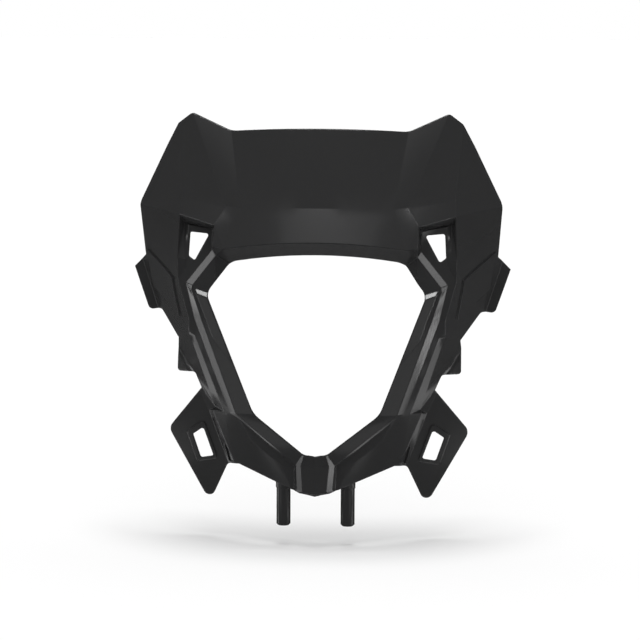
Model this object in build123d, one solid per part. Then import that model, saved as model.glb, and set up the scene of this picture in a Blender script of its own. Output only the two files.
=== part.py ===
from build123d import *
import os

# Headlight cowl of an off-road motorcycle: one black plastic moulding whose
# faceted skin frames the lamp opening, with two pegs below for the mudguard.
# Millimetres, X to the right, Y to the back and Z up. The origin lies midway
# between the free ends of the two pegs. Every corner is given for the right
# half, as half width, depth behind the pegs and height.

# Moulding
wall = 2.8
reach = 5.0
far = 400.0

# Lamp opening
open_top = (0.0, 4.0, 208.2)
open_corner = (66.0, 6.0, 202.5)
open_side = (83.6, -7.0, 179.2)
open_low = (48.4, 0.5, 85.7)
open_foot = (9.5, -11.5, 56.9)
open_bottom = (0.0, -12.0, 55.3)
open_corner_r = 14.0
open_side_r = 10.0
open_low_r = 18.0
open_foot_r = 5.0

# Moulding round the opening: band, bevel and channel from the edge outwards
fold_w = 5.0
bevel_end_in = (76.2, -3.5, 208.2)
bevel_end_out = (79.4, 0.0, 212.2)
crest_knee = (95.8, -3.0, 183.3)
bevel_knee = (99.6, 0.5, 186.9)
waist_z = 158.7
band_w = 11.7
bevel_w = 5.9
channel_w = 4.4
band_fall = 3.4
bevel_fall = 4.0
channel_fall = 0.4
foot_band_w = 13.6
foot_bevel_w = 5.0
foot_channel_w = 5.0
foot_channel_fall = 3.4

# Ledge across the band below its upper corner: its head, brow and foot, and the
# way that it runs to the lamp opening. Head and foot lie inside the wall.
ledge_head = (92.9, -2.6, 184.0)
ledge_brow = (91.1, -7.0, 179.5)
ledge_foot = (73.0, 0.4, 128.0)
ledge_run = (-18.8, -6.0, -6.8)

# Rib outside the channel
rib_z = 145.7
rib_w = 4.9
rib_fall = 4.2
rib_end_h = 3.0
rib_foot = (79.0, 18.8, 88.0)

# Visor: plate over the lamp and the brow below it
plate_top = (0.0, 25.0, 303.0)
notch = (68.0, 35.0, 300.5)
bend_centre = (0.0, -6.0, 244.7)
bend_inner = (58.0, 0.0, 244.0)
bend_outer = (69.0, 3.0, 245.2)
lip_centre = (0.0, -25.0, 220.2)
lip_end = (69.0, -17.0, 214.5)
brow_corner = (77.2, -15.5, 216.1)
notch_r = 16.0

# Side panels of the visor
peak = (99.2, 43.0, 314.3)
shoulder = (110.0, 43.0, 306.1)
flank = (119.0, 46.5, 289.3)
knuckle = (141.2, 50.0, 243.7)
ridge_top = (104.6, 14.0, 249.7)
peak_r = 4.0
shoulder_r = 4.0
knuckle_r = 14.0

# Strap window and the pocket that it sits in
pocket_in = (77.2, -8.0, 231.7)
pocket_out = (105.0, 8.0, 238.2)
sill_top = (101.8, 12.0, 231.5)
sill_low = (102.0, 2.4, 205.0)
floor_in = (79.6, 5.0, 227.2)
floor_out = (98.4, 8.5, 230.2)
floor_low = (98.4, 3.0, 204.4)
ridge_low = (106.0, 1.0, 205.7)
ridge_foot = (106.0, 3.0, 188.7)
window = ((82.0, 223.9), (97.0, 225.1), (98.0, 206.7), (93.3, 203.3))
window_r = 1.6

# Side fairing, swept back to the strap tabs
tab_root = (138.3, 60.0, 201.9)
tab_tip = (148.4, 62.5, 191.7)
tab_low = (136.5, 60.0, 157.5)
tab_heel = (125.5, 57.0, 159.3)
tab_r = 4.0
heel_r = 3.0
panel = ((109.8, 189.5), (136.0, 207.2), (131.8, 177.2), (104.6, 158.3))
panel_r = 0.8
panel_h = 1.2
panel_reach = 8.0

# Small tab on the side of the arm
arm_back = (109.6, 36.0, 139.9)
ear_top = (110.4, 34.0, 132.7)
ear_low = (110.5, 31.5, 113.5)
ear_root = (95.7, 114.1)
ear_r = 2.5

# Lower wing with its strap slot: a flat plate through three of its corners
wing_outer = (117.5, 34.0, 68.5)
wing_tip = (84.3, 25.5, 11.5)
wing_root = (69.4, 19.0, 44.2)
wing_neck = (90.4, 102.3)
wing_apex = (84.5, 84.5)
wing_outer_r = 7.0
wing_tip_r = 5.0
wing_root_r = 5.0
slot = ((89.2, 71.1), (98.0, 64.7), (91.6, 46.2), (80.9, 48.5))
slot_r = 1.8
rim_w = 3.0
rim_out = 1.0
rim_up = 0.8
rim_r = 2.5
rim_h = 1.0
dent = ((72.4, 61.0), (68.2, 46.0), (62.2, 46.0))
dent_r = 0.4
dent_depth = 1.0

# Cheek and chin
cheek_head = (81.0, 17.0, 85.5)
cheek_foot = (60.0, 11.0, 44.9)
chin_side = (18.0, -10.0, 29.8)
strip_top = (57.7, 4.1, 80.0)
strip_low = (16.1, -5.1, 46.6)
step_top = (50.2, 2.0, 64.5)
step_low = (25.0, -6.0, 47.2)
chin_edge = (15.0, -6.5, 48.0)
chin_crest = (10.8, -11.0, 47.7)
chin_centre = (0.0, -12.0, 47.7)
chin_low_edge = (13.2, -13.5, 30.7)
chin_low = (9.0, -17.5, 29.3)
chin_low_centre = (0.0, -18.5, 28.1)
chin_tip = (0.0, -11.5, 24.5)

# Pegs that plug into the mudguard
peg_x = 24.7
peg_r = 5.4
peg_chamfer = 1.2
root_z = 29.5
root_top = 42.0
root_step = 0.5
root_chamfer = 3.0


def past(inner, outer):
    """A corner moved past the outline, on the line from the corner inside it."""
    run = Vector(outer) - Vector(inner)
    return Vector(outer) + run * (reach / Vector(run.X, 0, run.Z).length)


def at_height(start, end, height):
    """The point at a height on the line between two corners."""
    run = Vector(end) - Vector(start)
    return Vector(start) + run * ((height - start[2]) / run.Z)


def toward(start, end, distance):
    """The point a distance from one corner towards another."""
    return Vector(start) + (Vector(end) - Vector(start)).normalized() * distance


def arm_row(edge, widths, falls):
    """Corners across the arm at one height, from the opening edge outwards."""
    row = [Vector(*edge)]
    for width, fall in zip(widths, falls):
        row.append(row[-1] + Vector(width, fall, 0))
    return row


def plane_normal(a, b, c):
    """The forward-facing normal of the plane through three corners."""
    normal = (Vector(b) - Vector(a)).cross(Vector(c) - Vector(a)).normalized()
    return normal * (1 if normal.Y < 0 else -1)


def plane_point(plane, x, z):
    """The point seen from the front at a place, on the plane through three corners."""
    normal = plane_normal(*plane)
    start = Vector(plane[0])
    return Vector(x, start.Y - (normal.X * (x - start.X) + normal.Z * (z - start.Z)) / normal.Y, z)


def wing_point(x, z):
    """The point of the flat wing plate seen from the front at a place."""
    return plane_point((wing_outer, wing_tip, wing_root), x, z)


def wing_past(inner, outer):
    """A corner of the wing plate moved past the outline."""
    moved = past((inner[0], 0, inner[-1]), (outer[0], 0, outer[-1]))
    return wing_point(moved.X, moved.Z)


def arm_corners():
    """The moulding down the arm: band, bevel, channel and rib."""
    falls = (band_fall, bevel_fall, channel_fall)
    waist_edge = at_height(open_side, open_low, waist_z)
    waist = arm_row(waist_edge, (band_w, bevel_w, channel_w), falls)
    foot_falls = (band_fall, bevel_fall, foot_channel_fall)
    foot = arm_row(open_low, (foot_band_w, foot_bevel_w, foot_channel_w), foot_falls)
    rib_in = at_height(tuple(waist[3]), tuple(foot[3]), rib_z)
    return {
        "open waist": past(waist[1], waist[0]),
        "open low": past(foot[1], foot[0]),
        "crest waist": waist[1],
        "bevel waist": waist[2],
        "channel waist": waist[3],
        "crest foot": foot[1],
        "bevel foot": foot[2],
        "channel foot": foot[3],
        "rib in": rib_in,
        "rib ledge": rib_in + Vector(rib_w, channel_fall, rib_end_h),
        "rib out": rib_in + Vector(rib_w, rib_fall, 0),
        "rib foot": Vector(*rib_foot),
    }


def knee_corners(arm):
    """The upper corner of the moulding, where a narrow fold crosses the band."""
    knee_up = toward(crest_knee, bevel_end_in, fold_w / 2)
    knee_down = toward(crest_knee, arm["crest waist"], fold_w / 2)
    open_up = toward(open_side, open_corner, fold_w / 2)
    open_down = toward(open_side, open_low, fold_w / 2)
    return {
        "bevel end in": Vector(*bevel_end_in),
        "bevel end out": Vector(*bevel_end_out),
        "bevel knee": Vector(*bevel_knee),
        "knee up": knee_up,
        "knee down": knee_down,
        "open up": past(knee_up, open_up),
        "open down": past(knee_down, open_down),
    }


def visor_corners():
    """The plate over the lamp, the brow, the side panels and the window pocket."""
    return {
        "open top": past(lip_centre, open_top),
        "open corner": past(lip_end, open_corner),
        "plate top": past(bend_centre, plate_top),
        "notch": past(bend_inner, notch),
        "peak": past(bend_outer, peak),
        "shoulder": past(ridge_top, shoulder),
        "flank": past(ridge_top, flank),
        "knuckle": past(ridge_top, knuckle),
        "bend centre": Vector(*bend_centre),
        "bend inner": Vector(*bend_inner),
        "bend outer": Vector(*bend_outer),
        "ridge top": Vector(*ridge_top),
        "ridge low": Vector(*ridge_low),
        "ridge foot": Vector(*ridge_foot),
        "lip centre": Vector(*lip_centre),
        "lip end": Vector(*lip_end),
        "brow corner": Vector(*brow_corner),
        "pocket in": Vector(*pocket_in),
        "pocket out": Vector(*pocket_out),
        "sill top": Vector(*sill_top),
        "sill low": Vector(*sill_low),
        "floor in": Vector(*floor_in),
        "floor out": Vector(*floor_out),
        "floor low": Vector(*floor_low),
    }


def side_corners(arm):
    """The swept side with its strap tab, the small tab and the lower wing."""
    return {
        "tab root": past(ridge_low, tab_root),
        "tab tip": past(ridge_foot, tab_tip),
        "tab low": past(ridge_foot, tab_low),
        "tab heel": past(ridge_foot, tab_heel),
        "arm back": past(arm["rib in"], arm_back),
        "ear top": past(arm["rib in"], ear_top),
        "ear low": past(arm["rib in"], ear_low),
        "ear root": wing_past(open_side, ear_root),
        "wing apex": wing_point(*wing_apex),
        "wing neck": wing_past(open_low, wing_neck),
        "wing outer": wing_past(wing_apex, wing_outer),
        "wing tip": wing_past(wing_apex, wing_tip),
        "wing root": wing_past(wing_apex, wing_root),
    }


def chin_corners():
    """The cheek below the moulding and the pointed chin."""
    return {
        "open foot": past(chin_edge, open_foot),
        "open bottom": past(chin_centre, open_bottom),
        "chin edge": Vector(*chin_edge),
        "chin crest": Vector(*chin_crest),
        "chin centre": Vector(*chin_centre),
        "chin low edge": Vector(*chin_low_edge),
        "chin low": Vector(*chin_low),
        "chin low centre": Vector(*chin_low_centre),
        "chin tip": past(chin_low_centre, chin_tip),
        "chin side": past(step_low, chin_side),
        "cheek head": Vector(*cheek_head),
        "cheek foot": past(step_top, cheek_foot),
        "strip top": Vector(*strip_top),
        "strip low": Vector(*strip_low),
        "step top": Vector(*step_top),
        "step low": Vector(*step_low),
    }


band_facets = [
    ("lip centre", "lip end", "open corner", "open top"),
    ("lip end", "bevel end in", "open corner"),
    ("bevel end in", "knee up", "open up"),
    ("bevel end in", "open up", "open corner"),
    ("knee up", "knee down", "open down", "open up"),
    ("knee down", "crest waist", "open waist", "open down"),
    ("crest waist", "crest foot", "open low", "open waist"),
    ("crest foot", "chin edge", "open foot", "open low"),
    ("chin edge", "chin crest", "open foot"),
    ("chin crest", "chin centre", "open bottom"),
    ("chin crest", "open bottom", "open foot"),
]
moulding_facets = [
    ("bevel end in", "bevel end out", "bevel knee", "knee up"),
    ("knee up", "bevel knee", "knee down"),
    ("knee down", "bevel knee", "bevel waist", "crest waist"),
    ("crest waist", "bevel waist", "bevel foot", "crest foot"),
    ("bevel knee", "ridge foot", "channel waist", "bevel waist"),
    ("bevel waist", "channel waist", "rib in"),
    ("bevel waist", "rib in", "channel foot", "bevel foot"),
    ("channel waist", "rib ledge", "rib in"),
    ("rib ledge", "rib out", "rib in"),
    ("rib in", "rib out", "rib foot", "channel foot"),
    ("channel foot", "rib foot", "cheek head"),
]
visor_facets = [
    ("plate top", "notch", "bend inner", "bend centre"),
    ("notch", "peak", "bend outer", "bend inner"),
    ("peak", "shoulder", "ridge top", "bend outer"),
    ("shoulder", "flank", "ridge top"),
    ("flank", "knuckle", "ridge top"),
    ("ridge top", "knuckle", "pocket out"),
    ("bend centre", "bend inner", "lip end", "lip centre"),
    ("bend inner", "bend outer", "pocket in", "lip end"),
    ("pocket in", "brow corner", "lip end"),
    ("bend outer", "ridge top", "pocket out", "pocket in"),
]
pocket_facets = [
    ("pocket in", "pocket out", "sill top"),
    ("pocket in", "sill top", "floor in"),
    ("sill top", "floor out", "floor in"),
    ("pocket in", "floor in", "bevel end out", "brow corner"),
    ("lip end", "brow corner", "bevel end in"),
    ("brow corner", "bevel end out", "bevel end in"),
    ("floor in", "floor out", "floor low", "bevel end out"),
    ("bevel end out", "floor low", "bevel knee"),
    ("pocket out", "ridge low", "sill top"),
    ("ridge low", "sill low", "sill top"),
    ("sill top", "sill low", "floor low", "floor out"),
    ("floor low", "sill low", "ridge low"),
    ("floor low", "ridge low", "ridge foot"),
    ("floor low", "ridge foot", "bevel knee"),
]
fairing_facets = [
    ("pocket out", "knuckle", "tab root", "ridge low"),
    ("ridge low", "tab root", "tab heel", "ridge foot"),
    ("ridge foot", "tab heel", "channel waist"),
    ("channel waist", "tab heel", "arm back", "rib ledge"),
]
side_facets = [
    ("tab root", "tab tip", "tab heel"),
    ("tab tip", "tab low", "tab heel"),
    ("rib ledge", "arm back", "rib out"),
    ("rib out", "arm back", "ear root", "rib foot"),
    ("arm back", "ear top", "ear root"),
    ("ear top", "ear low", "ear root"),
    ("rib foot", "ear root", "wing apex"),
    ("rib foot", "wing apex", "cheek head"),
]
wing_facets = [
    ("wing apex", "ear root", "wing neck"),
    ("wing apex", "wing neck", "wing outer"),
    ("wing apex", "wing outer", "wing tip"),
    ("wing apex", "wing tip", "wing root"),
]
wing_wall_facets = [
    ("cheek head", "wing apex", "wing root", "cheek foot"),
]
cheek_facets = [
    ("channel foot", "cheek head", "cheek foot"),
    ("bevel foot", "channel foot", "cheek foot", "step top"),
    ("crest foot", "bevel foot", "strip top"),
    ("bevel foot", "step top", "strip top"),
    ("crest foot", "strip top", "strip low", "chin edge"),
    ("strip top", "step top", "step low", "strip low"),
    ("step top", "cheek foot", "chin side", "step low"),
    ("chin edge", "strip low", "chin side"),
    ("strip low", "step low", "chin side"),
    ("chin edge", "chin side", "chin low edge"),
    ("chin crest", "chin edge", "chin low edge", "chin low"),
    ("chin centre", "chin crest", "chin low", "chin low centre"),
    ("chin low", "chin low edge", "chin side"),
    ("chin low centre", "chin low", "chin tip"),
    ("chin low", "chin side", "chin tip"),
]
crowned_edges = [
    ("plate top", "notch"),
    ("bend centre", "bend inner"),
    ("lip centre", "lip end"),
    ("open top", "open corner"),
]


def front_corners():
    """All corners of the front face of the right half."""
    arm = arm_corners()
    return arm | knee_corners(arm) | visor_corners() | side_corners(arm) | chin_corners()


def facet_normal(corners, names):
    """Mean forward-facing normal of one facet."""
    points = [corners[name] for name in names]
    total = Vector(0, 0, 0)
    for here, after in zip(points, points[1:] + points[:1]):
        total += here.cross(after)
    return total.normalized() * (1 if total.Y < 0 else -1)


def inward_steps(corners, facets):
    """For each corner, the way into the wall that moves all its facets in by 1."""
    steps = {}
    for name, place in corners.items():
        normals = [facet_normal(corners, names) for names in facets if name in names]
        mean = sum(normals, Vector(0, 0, 0))
        if abs(place.X) < 1e-6:
            mean = Vector(0, mean.Y, mean.Z)
        mean = mean.normalized()
        share = sum(mean.dot(normal) for normal in normals) / len(normals)
        steps[name] = mean * (-1 / share)
    return steps


def span(corners, start, end):
    """The edge between two corners: an arc where the face is crowned."""
    if (start, end) in crowned_edges:
        return Edge.make_tangent_arc(corners[start], Vector(1, 0, 0), corners[end])
    if (end, start) in crowned_edges:
        return span(corners, end, start)
    return Edge.make_line(corners[start], corners[end])


def facet_face(corners, names):
    """One facet: ruled between opposite edges if it has four corners, else flat."""
    if len(names) == 4:
        a, b, c, d = names
        return Face.make_surface_from_curves(span(corners, a, b), span(corners, d, c))
    edges = [span(corners, *pair) for pair in zip(names, names[1:] + names[:1])]
    return Face(Wire(edges))


def rim_edges(corners, facets):
    """Edges that only one facet has, apart from those in the middle plane."""
    used = {}
    for names in facets:
        for pair in zip(names, names[1:] + names[:1]):
            used.setdefault(frozenset(pair), []).append(pair)
    free = [pairs[0] for pairs in used.values() if len(pairs) == 1]
    return [pair for pair in free if any(corners[name].X > 1e-6 for name in pair)]


def layer_faces(corners, steps, facets, start, end):
    """Faces that close the layer between two depths under some facets."""
    front = {name: corners[name] + steps[name] * start for name in corners}
    back = {name: corners[name] + steps[name] * end for name in corners}
    faces = [facet_face(front, names) for names in facets]
    faces += [facet_face(back, names) for names in facets]
    for pair in rim_edges(corners, facets):
        faces.append(Face.make_surface_from_curves(span(front, *pair), span(back, *pair)))
    return faces


def both_sides(shape):
    """A shape of the right half and its mirror image."""
    return [shape, mirror(shape, about=Plane.YZ)]


def corner_at(face, place):
    """The vertex of a front-view face nearest to a corner."""
    return face.vertices().sort_by_distance(Vector(place[0], 0, place[-1]))[0]


def prism(edges, rounds):
    """A prism right through along Y, on an outline with some corners rounded."""
    face = Face(Wire(edges))
    for place, radius in rounds:
        face = face.fillet_2d(radius, [corner_at(face, place)])
    return extrude(face, amount=far, dir=(0, 1, 0), both=True)


def flat(place):
    """A corner as it is seen from the front."""
    return Vector(place[0], 0, place[-1])


def half_outline(top, corners):
    """Front-view edges of a half outline with a crowned top, closed in the middle."""
    places = [flat(place) for place in corners]
    edges = [Edge.make_tangent_arc(flat(top), Vector(1, 0, 0), places[0])]
    edges += [Edge.make_line(a, b) for a, b in zip(places, places[1:] + [flat(top)])]
    return edges


def outline_prism():
    """The cowl's outline seen from the front."""
    corners = [notch, peak, shoulder, flank, knuckle, tab_root, tab_tip, tab_low, tab_heel]
    corners += [arm_back, ear_top, ear_low, ear_root, wing_neck, wing_outer, wing_tip]
    corners += [wing_root, cheek_foot, chin_side, chin_tip]
    rounds = [(notch, notch_r), (peak, peak_r), (shoulder, shoulder_r), (knuckle, knuckle_r)]
    rounds += [(tab_low, tab_r), (tab_heel, heel_r), (ear_low, ear_r), (ear_root, ear_r)]
    rounds += [(wing_outer, wing_outer_r), (wing_tip, wing_tip_r), (wing_root, wing_root_r)]
    return prism(half_outline(plate_top, corners), rounds)


def opening_prism():
    """The lamp opening."""
    corners = [open_corner, open_side, open_low, open_foot, open_bottom]
    rounds = [(open_corner, open_corner_r), (open_side, open_side_r)]
    rounds += [(open_low, open_low_r), (open_foot, open_foot_r)]
    return prism(half_outline(open_top, corners), rounds)


def hole_prism(places, radius, grow=0.0):
    """A prism through along Y on a straight-sided outline, grown by a margin."""
    face = Face(Wire.make_polygon([flat(place) for place in places]))
    if grow:
        face = offset(face, amount=grow, kind=Kind.INTERSECTION).face()
    face = face.fillet_2d(radius, face.vertices())
    return extrude(face, amount=far, dir=(0, 1, 0), both=True)


def skin(corners, steps, facets):
    """The whole moulded skin, both halves sewn in one closed shell."""
    faces = layer_faces(corners, steps, facets, 0, wall)
    mirrored = [mirror(face, about=Plane.YZ) for face in faces]
    right, left = both_sides(outline_prism())
    return Solid(Shell(faces + mirrored)) & (right + left)


def slot_rim(corners, steps):
    """The raised pad round the strap slot of the wing."""
    layer = Solid(Shell(layer_faces(corners, steps, wing_facets, -rim_h, wall / 2)))
    return layer & (Pos(rim_out, 0, rim_up) * hole_prism(slot, rim_r, rim_w))


def side_pad(corners, steps):
    """The raised pad on the side fairing, with its edges square to the surface."""
    layer = Solid(Shell(layer_faces(corners, steps, fairing_facets, -panel_h, wall / 2)))
    plane = (ridge_low, tab_root, tab_heel)
    face = Face(Wire.make_polygon([plane_point(plane, x, z) for x, z in panel]))
    face = face.fillet_2d(panel_r, face.vertices())
    return layer & extrude(face, amount=panel_reach, dir=plane_normal(*plane), both=True)


def wing_dent(corners, steps):
    """The narrow dent in the wall between the cheek and the wing."""
    layer = Solid(Shell(layer_faces(corners, steps, wing_wall_facets, -wall, dent_depth)))
    return layer & hole_prism(dent, dent_r)


def band_ledge():
    """The ledge on the band: a long wedge that runs out at the lamp opening."""
    section = Face(Wire.make_polygon([Vector(*ledge_head), Vector(*ledge_brow), Vector(*ledge_foot)]))
    return extrude(section, amount=Vector(*ledge_run).length, dir=Vector(*ledge_run))


def rod(radius, start, end):
    """An upright round rod in the place of the right peg."""
    align = (Align.CENTER, Align.CENTER, Align.MIN)
    return Pos(peg_x, 0, start) * Cylinder(radius, end - start, align=align)


def peg():
    """One round peg, with a slightly thicker root that merges into the chin."""
    pin = rod(peg_r, 0, root_z)
    pin = chamfer(pin.edges().sort_by(Axis.Z)[0], peg_chamfer)
    root = rod(peg_r + root_step, root_z, root_top)
    root = chamfer(root.edges().sort_by(Axis.Z)[-1], root_chamfer)
    return pin + root


def headlight_cowl():
    """The cowl: skin, pads and pegs, less its openings and dents."""
    corners = front_corners()
    facets = band_facets + moulding_facets + visor_facets + pocket_facets
    facets += fairing_facets + side_facets + wing_facets + wing_wall_facets + cheek_facets
    steps = inward_steps(corners, facets)
    cowl = skin(corners, steps, facets)
    added = [slot_rim(corners, steps), side_pad(corners, steps), band_ledge(), peg()]
    cut = [opening_prism(), hole_prism(window, window_r), hole_prism(slot, slot_r)]
    cut.append(wing_dent(corners, steps))
    for shape in added:
        for half in both_sides(shape):
            cowl += half
    for shape in cut:
        for half in both_sides(shape):
            cowl -= half
    return cowl


os.makedirs("parts", exist_ok=True)
export_step(headlight_cowl(), "parts/headlight_cowl.step")
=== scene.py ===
import bpy, bmesh, math
from mathutils import Vector, Matrix


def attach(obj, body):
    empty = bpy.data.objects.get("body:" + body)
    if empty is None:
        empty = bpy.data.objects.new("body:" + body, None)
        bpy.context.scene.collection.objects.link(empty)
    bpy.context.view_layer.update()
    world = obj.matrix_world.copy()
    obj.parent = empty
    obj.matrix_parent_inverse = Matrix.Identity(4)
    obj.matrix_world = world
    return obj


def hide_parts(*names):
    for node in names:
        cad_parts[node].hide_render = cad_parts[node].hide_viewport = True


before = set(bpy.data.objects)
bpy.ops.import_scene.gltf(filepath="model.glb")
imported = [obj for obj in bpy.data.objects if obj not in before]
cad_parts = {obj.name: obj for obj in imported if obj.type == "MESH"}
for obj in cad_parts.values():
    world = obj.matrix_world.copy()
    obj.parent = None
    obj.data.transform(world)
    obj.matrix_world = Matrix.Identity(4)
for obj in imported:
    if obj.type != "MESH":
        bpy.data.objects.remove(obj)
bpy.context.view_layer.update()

# The camera stands a little to the right and above, as the photograph was taken,
# with a long lens: 1.3 pixels to the millimetre at the middle of the cowl.
look_at = Vector((0.0, 0.020, 0.1587))
azimuth, elevation, roll = math.radians(3.5), math.radians(7.5), math.radians(0.23)
camera_distance = 1.76
sensor_mm = 36
pixels_per_metre = 1300
picture_px = 640
right_of_middle_px, below_middle_px = -2.1, -2.8

back = Vector((math.sin(azimuth) * math.cos(elevation),
               -math.cos(azimuth) * math.cos(elevation), math.sin(elevation)))
camera_data = bpy.data.cameras.new("camera")
camera_data.sensor_width = sensor_mm
camera_data.lens = pixels_per_metre * camera_distance * sensor_mm / picture_px
camera_data.shift_x = -right_of_middle_px / picture_px
camera_data.shift_y = below_middle_px / picture_px
camera = bpy.data.objects.new("camera", camera_data)
bpy.context.collection.objects.link(camera)
turn = back.to_track_quat("Z", "Y").to_matrix() @ Matrix.Rotation(roll, 3, "Z")
camera.matrix_world = Matrix.Translation(look_at + back * camera_distance) @ turn.to_4x4()
bpy.context.scene.camera = camera
bpy.context.scene.view_settings.view_transform = "Standard"


# The studio is white for the camera, softly lit from all round, and dim grey in
# reflections, so that the black plastic stays black.
class Socket:
    """One value in a shader. Arithmetic on it adds the maths nodes."""

    def __init__(self, tree, output):
        self.tree, self.output = tree, output

    def node(self, kind, settings=None, **inputs):
        new = self.tree.nodes.new(kind)
        for name, value in (settings or {}).items():
            setattr(new, name, value)
        for name, value in inputs.items():
            numbered = name[0] == "i" and name[1:].isdigit()
            place = int(name[1:]) if numbered else name.replace("_", " ")
            if isinstance(value, Socket):
                self.tree.links.new(value.output, new.inputs[place])
            else:
                new.inputs[place].default_value = value
        return new

    def maths(self, operation, first, second):
        new = self.node("ShaderNodeMath", {"operation": operation}, i0=first, i1=second)
        return Socket(self.tree, new.outputs[0])

    def __add__(self, other):
        return self.maths("ADD", self, other)

    __radd__ = __add__

    def __mul__(self, other):
        return self.maths("MULTIPLY", self, other)

    __rmul__ = __mul__


white = (1, 1, 1, 1)
ambient, reflected = 0.55, 0.08
world = bpy.data.worlds.new("studio")
bpy.context.scene.world = world
world.use_nodes = True
tree = world.node_tree
tree.nodes.clear()
sky = Socket(tree, None)
rays = sky.node("ShaderNodeLightPath")
seen = Socket(tree, rays.outputs["Is Camera Ray"])
mirrored = Socket(tree, rays.outputs["Is Glossy Ray"])
through = Socket(tree, rays.outputs["Is Transmission Ray"])
strength = ambient + (1 - ambient) * (seen + through) + (reflected - ambient) * mirrored
surround = sky.node("ShaderNodeBackground", Color=white, Strength=strength)
out = sky.node("ShaderNodeOutputWorld")
tree.links.new(surround.outputs[0], out.inputs["Surface"])

# The floor is a pale sheet a little below the pegs. For the camera it also
# glows, so that it joins the white surround and still takes the soft shadow.
floor_half = 40.0
floor_z = -0.015
floor_white, floor_glow = 0.75, 0.16

floor_mesh = bpy.data.meshes.new("floor")
shape = bmesh.new()
bmesh.ops.create_grid(shape, x_segments=1, y_segments=1, size=floor_half)
shape.to_mesh(floor_mesh)
shape.free()
floor = bpy.data.objects.new("floor", floor_mesh)
floor.location = (0, 0, floor_z)
bpy.context.collection.objects.link(floor)

floor_paint = bpy.data.materials.new("pale_floor")
floor_paint.use_nodes = True
tree = floor_paint.node_tree
tree.nodes.clear()
sheet = Socket(tree, None)
rays = sheet.node("ShaderNodeLightPath")
seen = Socket(tree, rays.outputs["Is Camera Ray"])
mirrored = Socket(tree, rays.outputs["Is Glossy Ray"])
diffuse = sheet.node("ShaderNodeBsdfDiffuse", Color=(floor_white, floor_white, floor_white, 1))
glow = sheet.node("ShaderNodeEmission", Color=white, Strength=floor_glow * seen)
dim = sheet.node("ShaderNodeEmission", Color=white, Strength=reflected)
lit = sheet.node("ShaderNodeAddShader")
tree.links.new(diffuse.outputs[0], lit.inputs[0])
tree.links.new(glow.outputs[0], lit.inputs[1])
either = sheet.node("ShaderNodeMixShader", Fac=mirrored)
tree.links.new(lit.outputs[0], either.inputs[1])
tree.links.new(dim.outputs[0], either.inputs[2])
out = sheet.node("ShaderNodeOutputMaterial")
tree.links.new(either.outputs[0], out.inputs["Surface"])
floor_mesh.materials.append(floor_paint)

# A wide lamp shines straight down from far overhead and casts the soft shadow on
# the floor. The gloss doesn't show it.
shadow_level = 0.6
shadow_spread = math.radians(28)
shadow_data = bpy.data.lights.new("shadow_lamp", "SUN")
shadow_data.energy = shadow_level * math.pi
shadow_data.angle = shadow_spread
shadow_lamp = bpy.data.objects.new("shadow_lamp", shadow_data)
shadow_lamp.visible_glossy = False
bpy.context.collection.objects.link(shadow_lamp)

# White cards lie on the floor and shine in the gloss only. On each side they draw
# the strips of light on bevel, rib, wing and chin and the thin line on the rounded
# crest, and dim ones tint the band and the wall of the lamp opening.
lamp_watts_per_m2 = 4
card_z = floor_z + 0.002


def gloss_lamp(name, place, turn, width, height, brightness):
    data = bpy.data.lights.new(name, "AREA")
    data.shape = "RECTANGLE"
    data.size, data.size_y = width, height
    data.energy = brightness * width * height * lamp_watts_per_m2
    lamp = bpy.data.objects.new(name, data)
    lamp.location = place
    lamp.rotation_euler = turn
    lamp.visible_camera = False
    lamp.visible_diffuse = False
    bpy.context.collection.objects.link(lamp)


def floor_card(name, start, end, width, brightness):
    """A card flat on the floor, along a line between two places in plan."""
    run = Vector(end) - Vector(start)
    middle = (Vector(end) + Vector(start)) / 2
    turn = (math.pi, 0, math.atan2(run.y, run.x))
    gloss_lamp(name, (middle.x, middle.y, card_z), turn, run.length, width, brightness)


floor_card("bevel_card_right", (0.20, 0.003), (0.60, -0.116), 0.055, 1.3)
floor_card("bevel_card_left", (-0.17, 0.032), (-0.60, -0.096), 0.055, 1.4)
floor_card("upper_card_right", (0.43, 0.022), (0.70, 0.022), 0.14, 2.2)
floor_card("upper_card_left", (-0.45, 0.05), (-0.72, 0.05), 0.20, 2.2)
floor_card("crest_card_right", (0.29, -0.052), (0.60, -0.145), 0.010, 8.0)
floor_card("crest_card_left", (-0.31, -0.036), (-0.60, -0.125), 0.010, 8.0)
floor_card("chin_card_right", (0.06, -0.013), (0.155, -0.014), 0.018, 1.8)
floor_card("chin_card_left", (-0.07, -0.003), (-0.175, -0.001), 0.018, 1.8)
floor_card("rib_card_right", (0.220, 0.086), (0.365, -0.006), 0.058, 1.0)
floor_card("rib_card_left", (-0.205, 0.122), (-0.385, 0.062), 0.060, 1.0)
floor_card("band_card_right", (0.10, -0.08), (0.25, -0.305), 0.060, 0.30)
floor_card("band_card_left", (-0.12, -0.09), (-0.31, -0.31), 0.070, 0.30)
floor_card("wall_card_right", (0.22, -0.122), (0.37, -0.238), 0.050, 0.32)
floor_card("wall_card_left", (-0.245, -0.108), (-0.38, -0.196), 0.050, 0.32)


# Small soft boxes stand round the cowl for its upper bevels, its knees, the sides
# of the chin and the wall of the right window. A large one hangs overhead, and a
# wide dim one lights the brow.
def soft_box(name, place, target, width, height, brightness):
    aim = (Vector(target) - Vector(place)).to_track_quat("-Z", "Y")
    gloss_lamp(name, place, aim.to_euler(), width, height, brightness)


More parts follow.
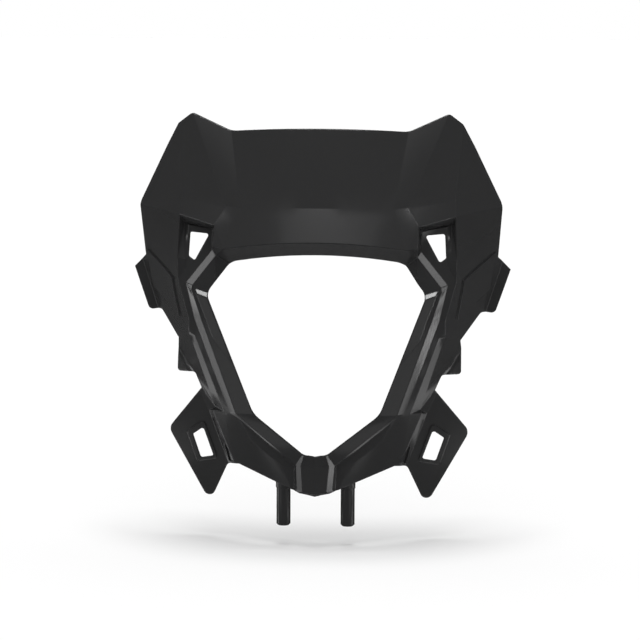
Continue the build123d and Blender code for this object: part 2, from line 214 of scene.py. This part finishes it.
soft_box("upper_right", (0.55, -0.225, 0.47), (0.088, 0.0, 0.197), 0.14, 0.16, 2.4)
soft_box("upper_left", (-0.57, -0.195, 0.44), (-0.088, 0.0, 0.197), 0.14, 0.16, 2.4)
soft_box("knee_right", (0.73, -0.285, 0.155), (0.095, 0.0, 0.155), 0.08, 0.07, 4.0)
soft_box("knee_left", (-0.79, -0.21, 0.155), (-0.095, 0.0, 0.155), 0.08, 0.07, 4.5)
soft_box("chin_right", (0.75, -0.080, 0.07), (0.015, -0.01, 0.05), 0.24, 0.15, 2.4)
soft_box("chin_left", (-0.75, -0.010, 0.07), (-0.015, -0.01, 0.05), 0.24, 0.15, 0.9)
soft_box("window_right", (0.279, -0.663, 0.613), (0.100, 0.005, 0.213), 0.10, 0.08, 1.8)
soft_box("overhead", (0.0, -0.12, 1.40), (0, 0.0, 0.2), 0.46, 0.28, 10.0)
soft_box("brow_light", (0.03, -0.48, 1.41), (0, 0.0, 0.225), 0.74, 0.26, 0.24)

# The cowl is one injection moulding in black plastic, about 3 mm thick, smooth
# and glossy as it leaves the polished mould. Its facets meet in small radii.
merge_distance = 0.00001
crease_angle = math.radians(9)

cowl_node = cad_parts["headlight_cowl"]
shape = bmesh.new()
shape.from_mesh(cowl_node.data)
bmesh.ops.remove_doubles(shape, verts=shape.verts, dist=merge_distance)
for face in shape.faces:
    face.smooth = True
for edge in shape.edges:
    if edge.is_manifold and edge.calc_face_angle(0) > crease_angle:
        edge.smooth = False
cowl_mesh = bpy.data.meshes.new("cowl_moulding")
shape.to_mesh(cowl_mesh)
shape.free()
cowl = bpy.data.objects.new("cowl_moulding", cowl_mesh)
bpy.context.collection.objects.link(cowl)

# The plastic is black right through. Its polish has a faint cloud from the mould,
# smears from handling and a fine grain, and the light wraps round its edges.
plastic_black = (0.0282, 0.0282, 0.0287, 1)
plastic_refraction = 1.5
best_polish = 0.10
cloud_dulling, smear_dulling, grain_dulling = 0.05, 0.06, 0.02
relief_depth, relief_strength, cloud_relief = 0.00002, 0.2, 3.0
edge_radius, edge_samples = 0.0012, 8

plastic = bpy.data.materials.new("black_gloss_plastic")
plastic.use_nodes = True
tree = plastic.node_tree
tree.nodes.clear()
finish = Socket(tree, None)
places = finish.node("ShaderNodeTexCoord")
place = Socket(tree, places.outputs["Object"])


def mottling(scale, detail):
    noise = finish.node("ShaderNodeTexNoise", Vector=place, Scale=scale, Detail=detail)
    return Socket(tree, noise.outputs["Fac"])


cloud = mottling(38.0, 3.0)
smear = mottling(11.0, 5.0)
grain = mottling(900.0, 2.0)
rounded = finish.node("ShaderNodeBevel", {"samples": edge_samples}, Radius=edge_radius)
relief = finish.node("ShaderNodeBump", Strength=relief_strength, Distance=relief_depth,
                     Height=grain + cloud_relief * cloud,
                     Normal=Socket(tree, rounded.outputs[0]))
dulling = cloud_dulling * cloud + smear_dulling * smear + grain_dulling * grain
surface = finish.node("ShaderNodeBsdfPrincipled", Base_Color=plastic_black,
                      Roughness=best_polish + dulling, IOR=plastic_refraction,
                      Normal=Socket(tree, relief.outputs[0]))
out = finish.node("ShaderNodeOutputMaterial")
tree.links.new(surface.outputs[0], out.inputs["Surface"])
cowl_mesh.materials.append(plastic)
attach(cowl, "root")
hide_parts("headlight_cowl")
